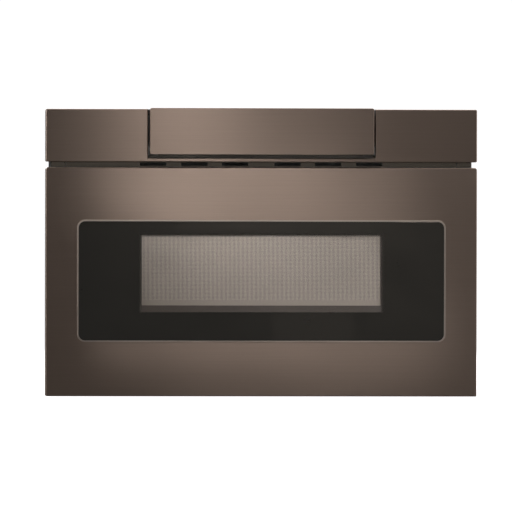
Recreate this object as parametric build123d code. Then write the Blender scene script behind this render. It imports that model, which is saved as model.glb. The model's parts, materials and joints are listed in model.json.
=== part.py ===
from build123d import *
import math
import os

os.makedirs("parts", exist_ok=True)

# Microwave drawer, built-in, 24-inch class.  Millimetres.
# +X to the object's right as seen by someone facing it from the front (the
# front faces -Y), +Z up.  Origin: middle of the bounding box in X and Y, at
# the height of the drawer front's lower edge.

# ---------------------------------------------------------------- dimensions
W = 606.0            # width of fascia and drawer front
H_FRONT = 403.0      # top of the fixed fascia
DRAWER_H = 321.2     # height of the drawer front
GAP = 7.8            # air gap between drawer front and fascia
FASCIA_Z0 = DRAWER_H + GAP
Y_FACE = -285.0      # plane of the fascia and of the drawer front
Y_FLAP = -297.0      # plane of the proud control flap
Y_SKIN_BACK = -250.0  # rear edge of the drawer front's folded sides
Y_CORE_BACK = -262.0  # rear of the drawer front's moulded core
T_SKIN = 1.0
FLAP_HW = 157.4      # half width of the control flap
FLAP_Z0, FLAP_Z1 = 339.0, 404.5
NOTCH_HW = 159.9     # half width of the notch in the fascia
NOTCH_Z = 334.1
PIVOT_Y, PIVOT_Z = -280.0, 346.0   # axis that the control pod tilts about
R_PIVOT = 2.5
RUN = 0.05           # radial running clearance
GLASS_HW = 256.8     # drawer glass
GLASS_Z0, GLASS_Z1 = 78.3, 245.4
GLASS_R = 9.0
WIN_HW = 168.2       # clear window in the glass
WIN_Z0, WIN_Z1 = 127.5, 227.6
FLANGE_Y0, FLANGE_Y1 = -247.0, -245.5
CASE_HW = 277.5
CASE_Z0, CASE_Z1 = 13.0, 384.0
CASE_Y1 = 294.0
T_CASE = 1.2
CAV_HW = 220.0       # inside of the cavity
CAV_Z0, CAV_Z1 = 85.0, 270.0
CAV_Y1 = 184.0
T_CAV = 1.0
TUB_HW = 212.0
TUB_Z0, TUB_Z1 = 88.0, 232.0
TUB_Y0, TUB_Y1 = -248.0, 162.0
TRAVEL = 380.0       # drawer travel
MODULE = 1.25        # rack and pinion
TEETH = 18
PINION_Y, RACK_PITCH_Z = -225.0, 48.0
R_PITCH = MODULE * TEETH / 2
PINION_Z = RACK_PITCH_Z - R_PITCH
MOUNT_X, MOUNT_Z_LOW, MOUNT_Z_HIGH, MOUNT_R = 287.5, 60.0, 290.0, 2.25

nodes = {}


# ---------------------------------------------------------------- helpers
def rect(a0, a1, b0, b1, r=0.0):
    w, h = a1 - a0, b1 - b0
    s = RectangleRounded(w, h, r) if r > 0 else Rectangle(w, h)
    return Pos((a0 + a1) / 2, (b0 + b1) / 2) * s


def poly(points):
    return Polygon(*points, align=None)


def ext_y(sketch, y0, y1):
    # sketch in (x, z), thick along y
    return extrude(Plane(origin=(0, y1, 0), x_dir=(1, 0, 0), z_dir=(0, -1, 0)) * sketch, y1 - y0)


def ext_x(sketch, x0, x1):
    # sketch in (y, z), thick along x
    return extrude(Plane(origin=(x0, 0, 0), x_dir=(0, 1, 0), z_dir=(1, 0, 0)) * sketch, x1 - x0)


def ext_z(sketch, z0, z1):
    return extrude(Pos(0, 0, z0) * sketch, z1 - z0)


def bx(x0, x1, y0, y1, z0, z1):
    return Pos((x0 + x1) / 2, (y0 + y1) / 2, (z0 + z1) / 2) * Box(x1 - x0, y1 - y0, z1 - z0)


def cyl_x(y, z, r, x0, x1):
    return ext_x(Pos(y, z) * Circle(r), x0, x1)


def cyl_y(x, z, r, y0, y1):
    return ext_y(Pos(x, z) * Circle(r), y0, y1)


def cyl_z(x, y, r, z0, z1):
    return ext_z(Pos(x, y) * Circle(r), z0, z1)


def mir(s):
    return mirror(s, about=Plane.YZ)


def keep(name, *solids):
    out = []
    for s in solids:
        out.extend(s.solids())
    nodes[name] = out[0] if len(out) == 1 else Compound(children=out)


# ================================================================ case
base = bx(-CASE_HW, CASE_HW, FLANGE_Y1, CASE_Y1, CASE_Z0, CASE_Z0 + T_CASE)
x_in = CASE_HW - T_CASE
z_fl = CASE_Z0 + T_CASE
for s in (-1, 1):
    xa, xb = sorted((s * (x_in - T_CASE), s * x_in))
    base += bx(xa, xb, FLANGE_Y1 + 3, CASE_Y1 - T_CASE, z_fl, z_fl + 20)
SCREW_Y = (-200.0, 20.0, 240.0)
Z_LOW_SCREW = z_fl + 10
Z_TOP_SCREW = CASE_Z1 - T_CASE - 10
low_holes = [cyl_x(y, Z_LOW_SCREW, 1.75, -CASE_HW - 1, CASE_HW + 1) for y in SCREW_Y]
base -= low_holes
base -= [ext_z(Pos(x, y) * SlotOverall(46, 5), CASE_Z0 - 1, z_fl + 1) for x in (-150, -90, 90, 150) for y in (-60, -40, -20, 0)]
keep("base_pan", base)

top = bx(-CASE_HW, CASE_HW, FLANGE_Y1, CASE_Y1, CASE_Z1 - T_CASE, CASE_Z1)
for s in (-1, 1):
    xa, xb = sorted((s * (x_in - T_CASE), s * x_in))
    top += bx(xa, xb, FLANGE_Y1 + 3, CASE_Y1 - T_CASE, CASE_Z1 - T_CASE - 20, CASE_Z1 - T_CASE)
top -= [cyl_x(y, Z_TOP_SCREW, 1.75, -CASE_HW - 1, CASE_HW + 1) for y in SCREW_Y]
# two shallow pressed ribs stiffen the lid
for x in (-140, 140):
    top += ext_z(Pos(x, 20) * SlotOverall(330, 22, rotation=90), CASE_Z1 - T_CASE - 1.2, CASE_Z1 - T_CASE)
    top -= ext_z(Pos(x, 20) * SlotOverall(327, 19, rotation=90), CASE_Z1 - T_CASE, CASE_Z1)
keep("top_cover", top)

SIDE_Z = (z_fl, CASE_Z1 - T_CASE)
REAR_SCREW_Y, REAR_SCREW_Z = CASE_Y1 - T_CASE - 9, (100.0, 280.0)
side = ext_x(rect(FLANGE_Y1, CASE_Y1, *SIDE_Z), x_in, CASE_HW)
side -= [cyl_x(y, z, 1.75, x_in - 1, CASE_HW + 1) for y in SCREW_Y for z in (Z_LOW_SCREW, Z_TOP_SCREW)]
side -= [cyl_x(REAR_SCREW_Y, z, 1.75, x_in - 1, CASE_HW + 1) for z in REAR_SCREW_Z]
side -= [ext_x(Pos(200 + 9 * i, 70) * SlotOverall(44, 4, rotation=90), x_in - 1, CASE_HW + 1) for i in range(8)]
side -= [ext_x(Pos(200 + 9 * i, 330) * SlotOverall(44, 4, rotation=90), x_in - 1, CASE_HW + 1) for i in range(8)]
side = side.solid() if hasattr(side, "solid") else side
keep("side_panel_right", side)
keep("side_panel_left", mir(side))

ri = x_in
rear = ext_y(rect(-ri, ri, *SIDE_Z), CASE_Y1 - T_CASE, CASE_Y1)
for s in (-1, 1):
    xa, xb = sorted((s * (ri - T_CASE), s * ri))
    rear += bx(xa, xb, CASE_Y1 - T_CASE - 18, CASE_Y1 - T_CASE, 60, SIDE_Z[1] - 30)
rear -= [cyl_x(REAR_SCREW_Y, z, 1.75, -ri - 1, ri + 1) for z in REAR_SCREW_Z]
GLAND_X, GLAND_Z = 225.0, 45.0
rear -= cyl_y(GLAND_X, GLAND_Z, 9.0, CASE_Y1 - 5, CASE_Y1 + 5)
rear -= [ext_y(Pos(x, 205 + 10 * i) * SlotOverall(56, 5), CASE_Y1 - 5, CASE_Y1 + 5) for i in range(11) for x in (-215, -145)]
rear -= [ext_y(Pos(155, 40 + 10 * i) * SlotOverall(70, 5), CASE_Y1 - 5, CASE_Y1 + 5) for i in range(7)]
rear -= [ext_y(Pos(x, 320 + 10 * i) * SlotOverall(70, 5), CASE_Y1 - 5, CASE_Y1 + 5) for i in range(4) for x in (120, 205)]
keep("rear_panel", rear)

# screws that hold the shells together: pan head outside, shank through both sheets
screws = []
for s in (-1, 1):
    for (y, z) in [(y, z) for y in SCREW_Y for z in (Z_LOW_SCREW, Z_TOP_SCREW)] + [(REAR_SCREW_Y, z) for z in REAR_SCREW_Z]:
        head = cyl_x(y, z, 3.5, CASE_HW, CASE_HW + 1.8) + cyl_x(y, z, 1.7, CASE_HW - 6, CASE_HW)
        head -= ext_x(Pos(y, z) * (Rectangle(4.2, 0.8) + Rectangle(0.8, 4.2)), CASE_HW + 0.9, CASE_HW + 3)
        screws.append(head if s > 0 else mir(head))
keep("chassis_screws", *screws)

# front mounting flange: screws to the cabinet, drawer rails and rack pass through it
fl = ext_y(rect(-298, 298, 4, 399, 3), FLANGE_Y0, FLANGE_Y1)
fl -= ext_y(rect(-CAV_HW, CAV_HW, CAV_Z0, CAV_Z1, 4), FLANGE_Y0 - 1, FLANGE_Y1 + 1)
for s in (-1, 1):
    xa, xb = sorted((s * 236, s * 258))
    fl -= ext_y(rect(xa, xb, 167, 223, 2), FLANGE_Y0 - 1, FLANGE_Y1 + 1)
    xa, xb = sorted((s * 253, s * 269))
    fl -= ext_y(rect(xa, xb, 122, 148, 2), FLANGE_Y0 - 1, FLANGE_Y1 + 1)
fl -= ext_y(rect(-10, 10, 42, 65, 2), FLANGE_Y0 - 1, FLANGE_Y1 + 1)
EXH_X = (-152.0, -94.0, -37.0, 37.0, 94.0, 152.0)
fl -= [ext_y(Pos(x, 323.5) * SlotOverall(40, 10), FLANGE_Y0 - 1, FLANGE_Y1 + 1) for x in EXH_X]
fl -= [cyl_y(x, z, MOUNT_R, FLANGE_Y0 - 1, FLANGE_Y1 + 1) for x in (-MOUNT_X, MOUNT_X) for z in (MOUNT_Z_LOW, MOUNT_Z_HIGH)]
keep("front_flange", fl)

# ================================================================ cavity
REC_HX, REC_Y0, REC_Y1, REC_Z1 = 90.0, -90.0, 112.0, 295.0
cav = bx(-CAV_HW - T_CAV, CAV_HW + T_CAV, FLANGE_Y1, CAV_Y1 + T_CAV, CAV_Z0 - T_CAV, CAV_Z1 + T_CAV)
cav += bx(-REC_HX - T_CAV, REC_HX + T_CAV, REC_Y0 - T_CAV, REC_Y1 + T_CAV, CAV_Z1, REC_Z1 + T_CAV)
cav += ext_y(rect(-CAV_HW - 7, CAV_HW + 7, CAV_Z0 - 7, CAV_Z1 + 7, 4), FLANGE_Y1, FLANGE_Y1 + T_CAV)
cav -= bx(-CAV_HW, CAV_HW, FLANGE_Y1 - 1, CAV_Y1, CAV_Z0, CAV_Z1)
cav -= bx(-REC_HX, REC_HX, REC_Y0, REC_Y1, CAV_Z0 + 20, REC_Z1)
# feed from the waveguide, shaft of the stirrer, lamp and steam perforations
cav -= bx(-36, 36, 66, 100, REC_Z1 - 2, REC_Z1 + 3)
STIR_Y = -22.0
cav -= cyl_z(0, STIR_Y, 5.0, REC_Z1 - 2, REC_Z1 + 3)
LAMP_X, LAMP_Z = 150.0, 238.0
cav -= [cyl_y(LAMP_X + 6 * i, LAMP_Z + 6 * j, 1.6, CAV_Y1 - 1, CAV_Y1 + 3) for i in (-2, -1, 0, 1, 2) for j in (-1, 0, 1)]
cav -= [cyl_y(-LAMP_X + 6 * i, LAMP_Z + 6 * j, 1.6, CAV_Y1 - 1, CAV_Y1 + 3) for i in (-2, -1, 0, 1, 2) for j in (-1, 0, 1)]
keep("cavity_shell", cav)

cover = ext_z(RectangleRounded(200, 222, 6), CAV_Z1 - 1.6, CAV_Z1)
cover = Pos(0, (REC_Y0 + REC_Y1) / 2, 0) * cover
keep("stirrer_cover", cover)

# stirrer: four blades on a hub below the recess roof, with its small motor on top
hub = cyl_z(0, STIR_Y, 9, 276, 288) + cyl_z(0, STIR_Y, 3, 288, 300)
for k in range(4):
    blade = Rot(0, 0, 90 * k) * (Pos(36, 0, 282) * Rot(18, 0, 0) * Box(58, 30, 1.0))
    hub += Pos(0, STIR_Y, 0) * blade
keep("stirrer_blade", hub)
sm = ext_z(Pos(0, STIR_Y) * Circle(24.5), REC_Z1 + T_CAV, REC_Z1 + T_CAV + 15)
sm += ext_z(Pos(0, STIR_Y) * RectangleRounded(76, 14, 6), REC_Z1 + T_CAV, REC_Z1 + T_CAV + 1.5)
sm -= cyl_z(0, STIR_Y, 3 + RUN, REC_Z1, REC_Z1 + T_CAV + 5)
keep("stirrer_motor", sm)

# waveguide over the recess, running back to the magnetron
WG_Z0, WG_Z1 = REC_Z1 + T_CAV, 331.0
wg = bx(-45, 45, 56, 276, WG_Z0, WG_Z1) - bx(-44, 44, 57, 275, WG_Z0 + 1, WG_Z1 - 1)
wg -= bx(-36, 36, 66, 100, WG_Z0 - 1, WG_Z0 + 2)
MAG_Y = 238.0
wg -= cyl_z(0, MAG_Y, 17, WG_Z0 - 1, WG_Z0 + 2)
keep("waveguide", wg)

# magnetron: steel yoke, finned anode, antenna dome reaching into the waveguide
MZ1 = WG_Z0
yoke = bx(-47, 47, MAG_Y - 38, MAG_Y + 38, MZ1 - 86, MZ1 - 6) - bx(-50, 50, MAG_Y - 36, MAG_Y + 36, MZ1 - 84, MZ1 - 8)
yoke += bx(-47, 47, MAG_Y - 46, MAG_Y + 46, MZ1 - 6, MZ1 - 4.4)
yoke += bx(-24, 24, MAG_Y - 24, MAG_Y + 24, MZ1 - 4.4, MZ1)
yoke -= cyl_z(0, MAG_Y, 15, MZ1 - 10, MZ1 + 1)
yoke += bx(-34, 34, MAG_Y - 34, MAG_Y + 34, MZ1 - 110, MZ1 - 86)
keep("magnetron_frame", yoke)
an = cyl_z(0, MAG_Y, 19, MZ1 - 84, MZ1 - 8)
for i in range(8):
    an += bx(-42, 42, MAG_Y - 35, MAG_Y + 35, MZ1 - 76 + 8.4 * i, MZ1 - 75.2 + 8.4 * i)
an += cyl_z(0, MAG_Y, 13, MZ1 - 8, MZ1 + 6) + cyl_z(0, MAG_Y, 8, MZ1 + 6, MZ1 + 20)
keep("magnetron_anode", an)

# cooling fan blowing through the magnetron's fins
FAN_Y, FAN_Z = MAG_Y, 252.0
sh = bx(-84, -47, FAN_Y - 46, FAN_Y + 46, FAN_Z - 44, FAN_Z + 42) - bx(-82.5, -46, FAN_Y - 44.5, FAN_Y + 44.5, FAN_Z - 42.5, FAN_Z + 40.5)
sh -= cyl_x(FAN_Y, FAN_Z, 40, -90, -80)
for a in (45, 135, 225, 315):
    cy, cz = FAN_Y + 30 * math.cos(math.radians(a)), FAN_Z + 30 * math.sin(math.radians(a))
    oy, oz = FAN_Y + 44.0 * math.cos(math.radians(a)), FAN_Z + 44.0 * math.sin(math.radians(a))
    sh += bx(-112, -84, oy - 3, oy + 3, oz - 3, oz + 3)
sh += ext_x(Pos(FAN_Y, FAN_Z) * (Rectangle(74, 74) - Circle(25.5)), -114, -112)
keep("fan_shroud", sh)
fm = cyl_x(FAN_Y, FAN_Z, 25.4, -136, -112) + cyl_x(FAN_Y, FAN_Z, 8, -140, -136)
fm += cyl_x(FAN_Y, FAN_Z, 28, -116.5, -114)
fm -= cyl_x(FAN_Y, FAN_Z, 2.5 + RUN, -128, -111)
keep("fan_motor", fm)
fb = cyl_x(FAN_Y, FAN_Z, 11, -100, -86) + cyl_x(FAN_Y, FAN_Z, 2.5, -126, -100)
for k in range(5):
    bl = Pos(-93, 0, 0) * Rot(360 / 5 * k, 0, 0) * (Pos(0, 0, 22.5) * Rot(0, 0, 35) * Box(1.4, 22, 29))
    fb += Pos(0, FAN_Y, FAN_Z) * bl
keep("fan_blade", fb)

# high-voltage supply on the base pan, in the rear compartment
TX, TY = 155.0, 235.0
core = bx(TX - 45, TX + 45, TY - 28, TY + 28, 20, 96)
core -= [bx(TX - 33, TX - 15, TY - 29, TY + 29, 34, 82), bx(TX + 15, TX + 33, TY - 29, TY + 29, 34, 82)]
core += bx(TX - 52, TX + 52, TY - 36, TY + 36, z_fl, 20)
keep("transformer_core", core)
wi = ext_z(Pos(TX, TY) * RectangleRounded(64, 84, 6), 36, 80) - ext_z(Pos(TX, TY) * RectangleRounded(30.6, 56.6, 1), 35, 81)
keep("transformer_winding", wi)
hc = ext_z(Pos(-150, 235) * SlotOverall(88, 34), z_fl, 66)
hc += [cyl_z(-165, 235, 4, 66, 78), cyl_z(-135, 235, 4, 66, 78)]
keep("hv_capacitor", hc)

# control electronics over the cavity
pb = ext_z(Pos(178, 20) * RectangleRounded(130, 150, 3), 300, 301.6)
for (x, y, w, d, h) in [(140, -30, 22, 16, 16), (140, -5, 22, 16, 16), (140, 20, 22, 16, 16), (175, -25, 34, 30, 26),
                        (215, -30, 26, 30, 22), (215, 40, 30, 12, 20), (165, 60, 50, 22, 12), (145, 45, 12, 12, 22)]:
    pb += bx(x - w / 2, x + w / 2, y - d / 2, y + d / 2, 301.6, 301.6 + h)
for (x, y) in [(118, -48), (118, 88), (212, -48), (212, 88)]:
    pb += cyl_z(x, y, 4, CAV_Z1 + T_CAV, 300)
keep("power_board", pb)
lf = ext_z(Pos(-180, 10) * RectangleRounded(70, 90, 3), 283, 284.6)
lf += [cyl_z(-195, 30, 13, 284.6, 302), cyl_z(-165, -15, 9, 284.6, 300), bx(-208, -190, -25, 0, 284.6, 298)]
for (x, y) in [(-208, -28), (-208, 48), (-152, -28), (-152, 48)]:
    lf += cyl_z(x, y, 3.5, CAV_Z1 + T_CAV, 283)
keep("line_filter_board", lf)

# lamp behind the perforations at the cavity's rear wall
lamp = bx(LAMP_X - 22, LAMP_X + 22, CAV_Y1 + T_CAV, CAV_Y1 + T_CAV + 1.5, LAMP_Z - 16, LAMP_Z + 16)
lamp += bx(LAMP_X - 18, LAMP_X + 18, CAV_Y1 + T_CAV + 1.5, CAV_Y1 + T_CAV + 34, LAMP_Z - 13, LAMP_Z + 13) - bx(LAMP_X - 16.5, LAMP_X + 16.5, CAV_Y1 + T_CAV, CAV_Y1 + T_CAV + 32.5, LAMP_Z - 11.5, LAMP_Z + 11.5)
lamp += cyl_y(LAMP_X, LAMP_Z, 9, CAV_Y1 + T_CAV + 1.5, CAV_Y1 + T_CAV + 34)
keep("oven_lamp", lamp)

# exhaust duct from over the cavity to the slots in the flange
ex = bx(-180, 180, FLANGE_Y1, -120, 286, 330) - bx(-179, 179, FLANGE_Y1 - 1, -121, 287, 329)
ex -= [ext_y(Pos(x, 308) * RectangleRounded(60, 26, 3), -122, -118) for x in (-120, -40, 40, 120)]
keep("exhaust_duct", ex)

gl = cyl_y(GLAND_X, GLAND_Z, 13, CASE_Y1, 297) + cyl_y(GLAND_X, GLAND_Z, 8.9, CASE_Y1 - 8, CASE_Y1)
gl += cyl_y(GLAND_X, GLAND_Z, 11.5, CASE_Y1 - 8, CASE_Y1 - T_CASE - 0.1)
GLAND_R = 4.2
gl -= cyl_y(GLAND_X, GLAND_Z, GLAND_R, CASE_Y1 - 10, 300)
keep("cord_gland", gl)

# ================================================================ fascia
Z0, Z1 = FASCIA_Z0, H_FRONT


def u_profile(o):
    # fascia outline with its open notch, pulled in by o
    pts = [(-W / 2 + o, Z0 + o), (W / 2 - o, Z0 + o), (W / 2 - o, Z1 - o), (NOTCH_HW + o, Z1 - o),
           (NOTCH_HW + o, NOTCH_Z - o), (-NOTCH_HW - o, NOTCH_Z - o), (-NOTCH_HW - o, Z1 - o), (-W / 2 + o, Z1 - o)]
    return poly(pts)


fs = ext_y(u_profile(0), Y_FACE, FLANGE_Y0 - 0.2)
fs = fillet(fs.edges().filter_by(Axis.Y).filter_by(lambda e: abs(abs(e.center().X) - W / 2) < 0.5), 2.0)
fs = fillet(fs.faces().sort_by(Axis.Y)[0].outer_wire().edges(), 1.3)
fi = ext_y(u_profile(T_SKIN), Y_FACE + T_SKIN, FLANGE_Y0 + 1)
fi = fillet(fi.edges().filter_by(Axis.Y).filter_by(lambda e: abs(abs(e.center().X) - W / 2) < 1.5), 1.0)
fs = fs - fi
fs -= bx(-NOTCH_HW - 3, NOTCH_HW + 3, -252, FLANGE_Y0 + 1, Z0 + 3, Z1 + 3)
keep("fascia_skin", fs)

fc = ext_y(u_profile(1.3), Y_FACE + T_SKIN + 0.4, -252)
fc -= ext_y(poly([(-298.6, 400), (-298.6, 333.5), (-166.8, 333.5), (-166.8, 400)]), -281, -240)
fc -= ext_y(poly([(298.6, 400), (298.6, 333.5), (166.8, 333.5), (166.8, 400)]), -281, -240)
back = ext_y(rect(-298, 298, 331, 399, 2), -252, FLANGE_Y0)
back -= ext_y(rect(-292, -170, 337, 393, 3), -253, -246)
back -= ext_y(rect(170, 292, 337, 393, 3), -253, -246)
# the plate rises behind the notch up to the top edge
back += bx(-162, 162, -252, FLANGE_Y0, 395, 402.8)
fc += back
for s in (-1, 1):
    for x in (205, 262):
        xa = s * x
        fc += bx(xa - 1, xa + 1, -281, FLANGE_Y0, 333, 400) - bx(xa - 2, xa + 2, -252, FLANGE_Y0 + 1, 330, 337)
keep("fascia_core", fc)

GRILLE_HW = 295.5
GRILLE_Z0 = DRAWER_H + 0.8   # the strip reaches down to just over the drawer front
vg = ext_y(rect(-GRILLE_HW, GRILLE_HW, GRILLE_Z0, Z0), -274, -273)
vg += bx(-GRILLE_HW, GRILLE_HW, -273, -264, Z0 - 0.8, Z0)
vg -= [ext_y(rect(x - 18.5, x + 18.5, Z0 - 5.6, Z0 - 0.8, 0.6), -275, -272) for x in EXH_X]
vg -= [ext_y(rect(x - 0.7, x + 0.7, Z0 - 6.0, Z0 - 0.8), -275, -272) for x in (-275, 275)]
keep("vent_grille", vg)

# brackets with the bores that carry the control pod's hinge pins
EAR0, EAR1 = NOTCH_HW - 2.1, NOTCH_HW - 0.1
pbr = ext_x(poly([(-283.4, 338), (-254, 338), (-254, 394), (-260, 394), (-262, 357), (-276, 353.5), (-283.4, 350)]), EAR0, EAR1)
pbr += bx(144, EAR1, -254, -252, 338, 394)
pbr -= cyl_x(PIVOT_Y, PIVOT_Z, R_PIVOT + RUN, 150, 170)
keep("pod_brackets", pbr, mir(pbr))

# ================================================================ control pod
flap = ext_y(rect(-FLAP_HW, FLAP_HW, FLAP_Z0, FLAP_Z1, 2.5), Y_FLAP, -287)
flap = fillet(flap.faces().sort_by(Axis.Y)[0].outer_wire().edges(), 1.0)
flap -= bx(-FLAP_HW + 1.2, FLAP_HW - 1.2, Y_FLAP + 1.2, -286, FLAP_Z0 - 1, FLAP_Z1 + 1)
# lower rear corners of the folded sides cut back, to clear the fascia as the pod tilts
flap -= ext_x(poly([(-296.3, FLAP_Z0 - 1), (-286, FLAP_Z0 - 1), (-286, FLAP_Z0 + 9.3)]), -160, 160)
keep("flap_skin", flap)

HY0, HY1 = Y_FLAP + 1.2, -257.0
prof = [(HY0, 402), (HY0, 348.7), (-288.7, 341.6), (-263, 341.6), (-257, 347.6), (-257, 402)]
POD_HW = FLAP_HW - 2.5
ph = ext_x(poly(prof), -POD_HW, POD_HW)
ph -= ext_x(poly([(HY0 + 2, 403), (HY0 + 2, 349.6), (-287.8, 343.7), (-263.9, 343.7), (-259, 348.5), (-259, 403)]), -POD_HW + 2.2, POD_HW - 2.2)
ph -= cyl_x(PIVOT_Y, PIVOT_Z, R_PIVOT, -160, 160)
for s in (-1, 1):
    b0, b1 = sorted((s * 145.0, s * (POD_HW - 2.0)))
    ph += cyl_x(PIVOT_Y, PIVOT_Z + 1.6, 6, b0, b1) - cyl_x(PIVOT_Y, PIVOT_Z, R_PIVOT, -160, 160) - bx(-160, 160, -300, -250, 330, 343)
keep("pod_housing", ph)
pins = cyl_x(PIVOT_Y, PIVOT_Z, R_PIVOT, 145.0, EAR1)
keep("pod_hinge_pins", pins, mir(pins))
cg = ext_z(rect(-POD_HW, POD_HW, HY0, HY1, 1.5), 402, 404.2)
keep("control_glass", cg)
pcb = ext_z(rect(-146, 146, HY0 + 4, -261, 1), 391, 392.6)
pcb += bx(-42, 42, HY0 + 8, -266, 392.6, 401.8)
pcb += [cyl_z(x, y, 2.5, 343.7, 391) for x in (-120, 120) for y in (-284, -268)]
pcb += [bx(x - 8, x + 8, -283, -270, 384, 391) for x in (-80, 60)]
keep("pod_board", pcb)

# ================================================================ drawer front
def panel(o, y0, y1, r_top, r_low):
    # drawer front's outline pulled in by o, upper corners rounder than the lower ones
    b = ext_y(rect(-W / 2 + o, W / 2 - o, o, DRAWER_H - o), y0, y1)
    b = fillet(b.edges().filter_by(Axis.Y).filter_by(lambda e: e.center().Z > 100), r_top)
    return fillet(b.edges().filter_by(Axis.Y).filter_by(lambda e: e.center().Z < 100), r_low)


ds = panel(0, Y_FACE, Y_SKIN_BACK, 3.6, 1.6)
ds = fillet(ds.faces().sort_by(Axis.Y)[0].outer_wire().edges(), 1.3)
ds -= panel(T_SKIN, Y_FACE + T_SKIN, Y_SKIN_BACK + 1, 2.6, 0.6)
ds -= ext_y(rect(-GLASS_HW - 1.0, GLASS_HW + 1.0, GLASS_Z0 - 1.0, GLASS_Z1 + 1.0, GLASS_R + 1.0), Y_FACE - 1, Y_FACE + 3)
keep("drawer_skin", ds)

tr = ext_y(rect(-GLASS_HW - 2.2, GLASS_HW + 2.2, GLASS_Z0 - 2.2, GLASS_Z1 + 2.2, GLASS_R + 2.2), Y_FACE - 0.9, Y_FACE)
tr += ext_y(rect(-GLASS_HW - 0.9, GLASS_HW + 0.9, GLASS_Z0 - 0.9, GLASS_Z1 + 0.9, GLASS_R + 0.9), Y_FACE, Y_FACE + 3.4)
tr = fillet(tr.faces().sort_by(Axis.Y)[0].outer_wire().edges(), 0.5)
tr -= ext_y(rect(-GLASS_HW - 0.1, GLASS_HW + 0.1, GLASS_Z0 - 0.1, GLASS_Z1 + 0.1, GLASS_R + 0.1), Y_FACE - 2, Y_FACE + 5)
keep("glass_trim", tr)

dg = ext_y(rect(-GLASS_HW, GLASS_HW, GLASS_Z0, GLASS_Z1, GLASS_R), Y_FACE - 0.6, Y_FACE + 3.4)
dg = fillet(dg.faces().sort_by(Axis.Y)[0].outer_wire().edges(), 0.4)
keep("drawer_glass", dg)

CORE_OPEN = (-202.0, 202.0, 97.0, 251.0)
DC0, DC1 = Y_FACE + T_SKIN + 0.3, Y_CORE_BACK
dc = ext_y(rect(-301.7, 301.7, 1.3, DRAWER_H - 1.3, 2.3), DC0, DC1)
dc -= ext_y(rect(-298.7, 298.7, 4.3, DRAWER_H - 4.3, 2), -280.2, DC1 + 1)
inner_wall = ext_y(rect(-205, 205, 94, 254, 2), -280.3, DC1)
dc += inner_wall
for z in (30, 290):
    dc += bx(-298.8, 298.8, -280.3, DC1, z - 1.2, z + 1.2)
for x in (-250, -120, 0, 120, 250):
    dc += bx(x - 1.2, x + 1.2, -280.3, DC1, 4.2, 95)
    dc += bx(x - 1.2, x + 1.2, -280.3, DC1, 253, DRAWER_H - 4.2)
dc -= ext_y(rect(*CORE_OPEN, 1), -290, DC1 + 1)
dc -= ext_y(rect(-GLASS_HW - 2.5, GLASS_HW + 2.5, GLASS_Z0 - 2.5, GLASS_Z1 + 2.5, 11), -290, Y_FACE + 3.5)
keep("door_core", dc)

sr = ext_y(rect(-201.8, 201.8, 97.2, 250.8, 1), Y_FACE + 3.5, -277) - ext_y(rect(-WIN_HW, WIN_HW, WIN_Z0, WIN_Z1, 1.5), -290, -270)
keep("screen_retainer", sr)
ms = ext_y(rect(-201.8, 201.8, 97.2, 250.8, 1), -277, -276.4)
keep("mesh_screen", ms)
ig = ext_y(rect(-201, 201, 98, 250, 2), -270, -267)
keep("inner_glass", ig)
wsl = ext_y(rect(-201, 201, 98, 250, 2), -276.4, -270) - ext_y(rect(-186, 186, 112, 238, 3), -280, -260)
keep("window_seal", wsl)

ck = ext_y(rect(-290, 290, 20, 312, 3), -262, -260.8)
ck += ext_y(rect(-232, 232, 74, 284, 4), -260.8, -249.5)
ck -= ext_y(rect(-230.8, 230.8, 75.2, 282.8, 3), -260.8, -250.7)
ck += ext_y(rect(-191.2, 191.2, 106.8, 245.2, 4), -260.9, -249.5)
ck -= ext_y(rect(-190, 190, 108, 244, 3), -270, -240)
# quarter-wave choke slots in the back face of the channel
ck -= [ext_y(rect(x - 5, x + 5, z - 9, z + 9, 1), -251, -249) for x in range(-180, 181, 24) for z in (91, 264)]
ck -= [ext_y(rect(x - 9, x + 9, z - 5, z + 5, 1), -251, -249) for x in (-211, 211) for z in range(112, 250, 24)]
FIX = [(-215, 130), (-215, 215), (215, 130), (215, 215)]
# small pads for the tub's screws between the choke slots
ck -= ext_y(rect(-298, 298, 0, 10), -270, -240)
keep("choke_frame", ck)
cc = ext_y(rect(-234, 234, 72, 286, 5), -249.5, -248) - ext_y(rect(-190, 190, 108, 244, 3), -260, -240)
keep("choke_cover", cc)

# ================================================================ drawer box
R_T = 12.0
t = 1.6
tu = ext_y(rect(-TUB_HW, TUB_HW, TUB_Z0, TUB_Z1 + 40, R_T), TUB_Y0, TUB_Y1)
tu -= ext_y(rect(-TUB_HW + t, TUB_HW - t, TUB_Z0 + t, TUB_Z1 + 50, R_T - t), TUB_Y0 - 1, TUB_Y1 - t)
tu -= bx(-300, 300, TUB_Y0 - 5, TUB_Y1 + 5, TUB_Z1, TUB_Z1 + 60)
# rolled rim around the top edge
rim = ext_z(rect(-TUB_HW - 2, TUB_HW + 2, TUB_Y0, TUB_Y1 + 2), TUB_Z1 - 5, TUB_Z1) - ext_z(rect(-TUB_HW + t + 1, TUB_HW - t - 1, TUB_Y0 - 1, TUB_Y1 - t - 1), TUB_Z1 - 6, TUB_Z1 + 1)
rim = fillet(rim.edges().filter_by(Axis.Y), 1.2)
tu += rim
# front flange of the box, screwed to the inner door
ff = ext_y(rect(-218, 218, 86, 234, 3), TUB_Y0, TUB_Y0 + 1.2) - ext_y(rect(-TUB_HW + t, TUB_HW - t, TUB_Z0 + t, 300, 1), TUB_Y0 - 1, TUB_Y0 + 3)
tu += ff
TUB_SCREWS = [(-200, 130)]
keep("tub", tu)

ct = ext_z(rect(-196, 196, -236, 148, 14), TUB_Z0 + t, TUB_Z0 + t + 5)
ct = fillet(ct.faces().sort_by(Axis.Z)[-1].outer_wire().edges(), 1.5)
keep("ceramic_tray", ct)

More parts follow.
